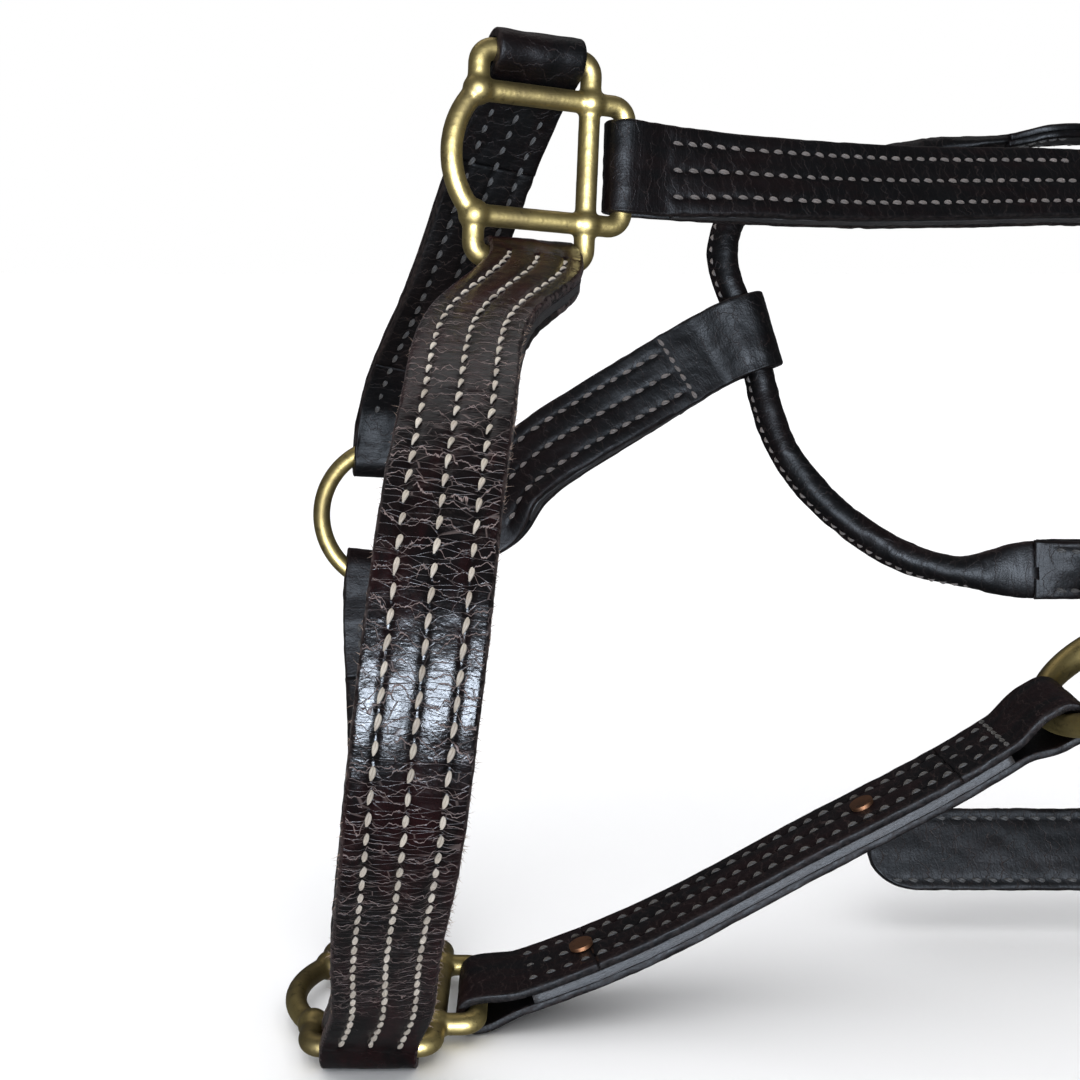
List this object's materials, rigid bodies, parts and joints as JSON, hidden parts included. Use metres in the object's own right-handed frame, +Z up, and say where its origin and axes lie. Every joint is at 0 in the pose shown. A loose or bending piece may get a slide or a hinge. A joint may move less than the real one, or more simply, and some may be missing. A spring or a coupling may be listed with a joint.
{
  "type": "leather horse halter",
  "caption": "Leather headcollar lying on its near side: stitched noseband, cheek, chin and crown straps, rolled throatlatch, cast brass squares and rings, buckle and bolt snap.",
  "frame": {"origin": "centre of the bounding box's bottom face, on the floor the halter lies on", "axes": "+Z up from the floor; +X from the noseband towards the crown; +Y from the nose arch towards the throat"},
  "size_m": [0.5082, 0.3005, 0.2698],
  "materials": {
    "leather": "worn dark brown bridle leather",
    "leather_core": "raw brown core leather",
    "brass": "aged satin brass",
    "copper": "dull copper"
  },
  "bodies": {
    "halter": {"noseband_face": "leather", "noseband_lining": "leather", "off_cheek_face": "leather", "off_cheek_lining": "leather", "near_cheek_face": "leather", "near_cheek_lining": "leather", "off_chin_face": "leather", "off_chin_lining": "leather", "near_chin_face": "leather", "near_chin_lining": "leather", "throat_connector_face": "leather", "throat_connector_lining": "leather", "crown_outer": "leather", "crown_lining": "leather", "crown_chape_outer": "leather", "crown_chape_lining": "leather", "fixed_keeper": "leather", "throatlatch_roll": "leather", "throatlatch_off_end": "leather", "throatlatch_near_end": "leather", "noseband_filler": "leather_core", "off_cheek_filler": "leather_core", "near_cheek_filler": "leather_core", "throat_connector_filler": "leather_core", "off_side_square": "brass", "near_side_square": "brass", "off_cheek_ring": "brass", "near_cheek_ring": "brass", "buckle_frame": "brass", "snap_eye": "brass", "off_cheek_rivets": "copper", "near_cheek_rivets": "copper"},
    "chin_ring": {"chin_ring": "brass"},
    "tongue": {"buckle_tongue": "brass"},
    "loose_keeper": {"sliding_keeper": "leather"},
    "snap": {"snap_body": "brass"},
    "bolt": {"snap_bolt": "brass"}
  },
  "joints": [
    {"name": "chin_ring_spin", "type": "hinge", "parent": "halter", "child": "chin_ring", "pos_m": [-0.2293, 0.0425, 0.12625], "axis": [0.1695, -0.952, 0.2549], "continuous": true},
    {"name": "crown_buckle_tongue", "type": "hinge", "parent": "halter", "child": "tongue", "pos_m": [0.1034, 0.006, 0.02745], "axis": [0, 0.45, 0.893], "range_deg": [0, 8]},
    {"name": "crown_keeper_slide", "type": "slide", "parent": "halter", "child": "loose_keeper", "axis": [1, 0, 0], "range_m": [-0.005, 0.005]},
    {"name": "throat_snap_swivel", "type": "hinge", "parent": "halter", "child": "snap", "pos_m": [0.00327, -0.00628, 0.09655], "axis": [0.5385, 0.788, 0.2985], "range_deg": [-10, 10]},
    {"name": "throat_snap_bolt", "type": "slide", "parent": "snap", "child": "bolt", "axis": [0.5385, 0.788, 0.2985], "range_m": [0, 0.008], "stiffness_N_per_m": 150, "springref_m": -0.004}
  ]
}
